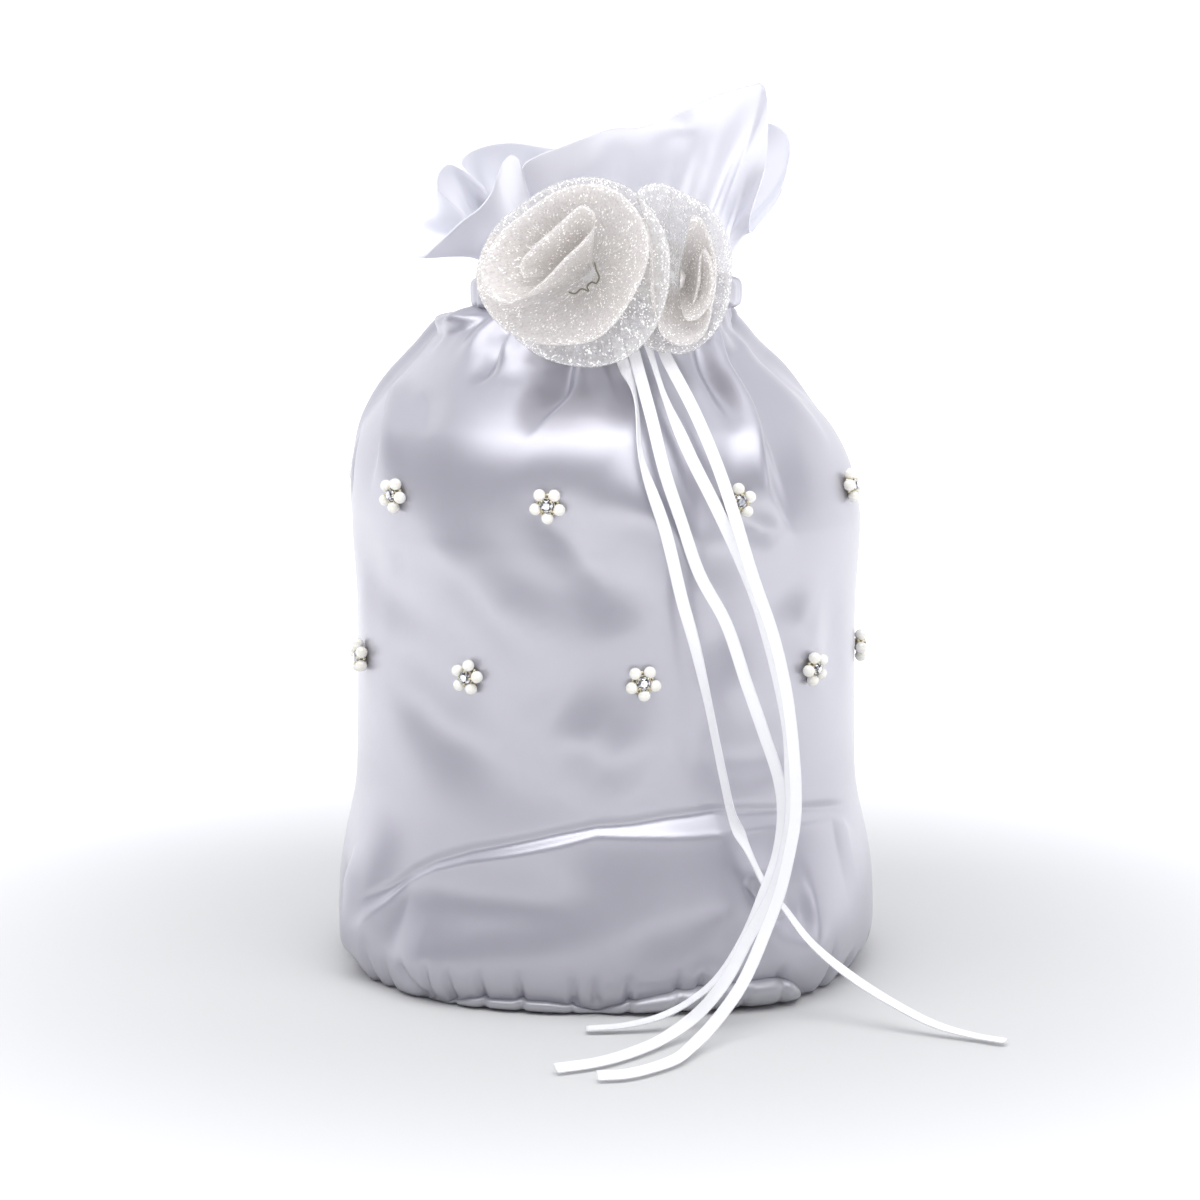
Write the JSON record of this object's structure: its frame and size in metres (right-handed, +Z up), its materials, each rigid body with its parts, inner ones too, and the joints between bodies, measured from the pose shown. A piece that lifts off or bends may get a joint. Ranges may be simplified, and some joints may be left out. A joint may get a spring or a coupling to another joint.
{
  "type": "drawstring gift pouch",
  "caption": "Round satin drawstring pouch with a gathered neck, a frilled lip, organza roses, bead flowers and trailing ribbon tails.",
  "frame": {"origin": "centre of the round base on the surface it stands on", "axes": "+Z up out of the mouth, -Y towards the roses and ribbon tails, +X to the right seen from the front"},
  "size_m": [0.1475, 0.174, 0.2048],
  "materials": {
    "satin": "satin weave, cool white",
    "lining": "matt lining",
    "organza": "sheer ivory organza with a glitter thread",
    "ribbon": "double-faced satin ribbon, woven edges",
    "felt": "felt",
    "pearl": "pearl coated beads round a silver-coloured cup",
    "stone": "clear faceted stone",
    "board": "plain board"
  },
  "bodies": {
    "pouch": {"satin_body": "satin", "lining": "lining", "base_panel": "satin", "base_stiffener": "board", "base_lining": "lining", "drawstring_channel": "satin", "drawstring_loop_one": "ribbon", "drawstring_loop_two": "ribbon", "rose_left_backing": "felt", "rose_left_outer_petals": "organza", "rose_left_inner_petals": "organza", "rose_left_bud": "organza", "rose_right_backing": "felt", "rose_right_outer_petals": "organza", "rose_right_inner_petals": "organza", "rose_right_bud": "organza", "pearl_flower_upper_1": "pearl", "pearl_flower_upper_2": "pearl", "pearl_flower_upper_3": "pearl", "pearl_flower_upper_4": "pearl", "pearl_flower_upper_5": "pearl", "pearl_flower_upper_6": "pearl", "pearl_flower_upper_7": "pearl", "pearl_flower_upper_8": "pearl", "pearl_flower_upper_9": "pearl", "pearl_flower_lower_1": "pearl", "pearl_flower_lower_2": "pearl", "pearl_flower_lower_3": "pearl", "pearl_flower_lower_4": "pearl", "pearl_flower_lower_5": "pearl", "pearl_flower_lower_6": "pearl", "pearl_flower_lower_7": "pearl", "pearl_flower_lower_8": "pearl", "pearl_flower_lower_9": "pearl", "rhinestone_upper_1": "stone", "rhinestone_upper_2": "stone", "rhinestone_upper_3": "stone", "rhinestone_upper_4": "stone", "rhinestone_upper_5": "stone", "rhinestone_upper_6": "stone", "rhinestone_upper_7": "stone", "rhinestone_upper_8": "stone", "rhinestone_upper_9": "stone", "rhinestone_lower_1": "stone", "rhinestone_lower_2": "stone", "rhinestone_lower_3": "stone", "rhinestone_lower_4": "stone", "rhinestone_lower_5": "stone", "rhinestone_lower_6": "stone", "rhinestone_lower_7": "stone", "rhinestone_lower_8": "stone", "rhinestone_lower_9": "stone"},
    "front_lip": {"frill_front": "satin"},
    "back_lip": {"frill_back": "satin"},
    "drawstring_one": {"ribbon_tail_one": "ribbon", "ribbon_tail_four": "ribbon"},
    "drawstring_two": {"ribbon_tail_two": "ribbon", "ribbon_tail_three": "ribbon"}
  },
  "joints": [
    {"name": "mouth_front_open", "type": "hinge", "parent": "pouch", "child": "front_lip", "pos_m": [0, -0.0286, 0.1617], "axis": [1, 0, 0], "range_deg": [0, 15]},
    {"name": "mouth_back_open", "type": "hinge", "parent": "pouch", "child": "back_lip", "pos_m": [0, 0.0286, 0.1617], "axis": [-1, 0, 0], "range_deg": [0, 30]},
    {"name": "drawstring_one_pull", "type": "slide", "parent": "pouch", "child": "drawstring_one", "axis": [0, -1, 0], "range_m": [0, 0.008]},
    {"name": "drawstring_two_pull", "type": "slide", "parent": "pouch", "child": "drawstring_two", "axis": [0, -1, 0], "range_m": [0, 0.008]}
  ],
  "couplings": [
    {"joint": "mouth_back_open", "follows": "mouth_front_open", "ratio": 2},
    {"joint": "drawstring_two_pull", "follows": "drawstring_one_pull", "ratio": 1}
  ]
}
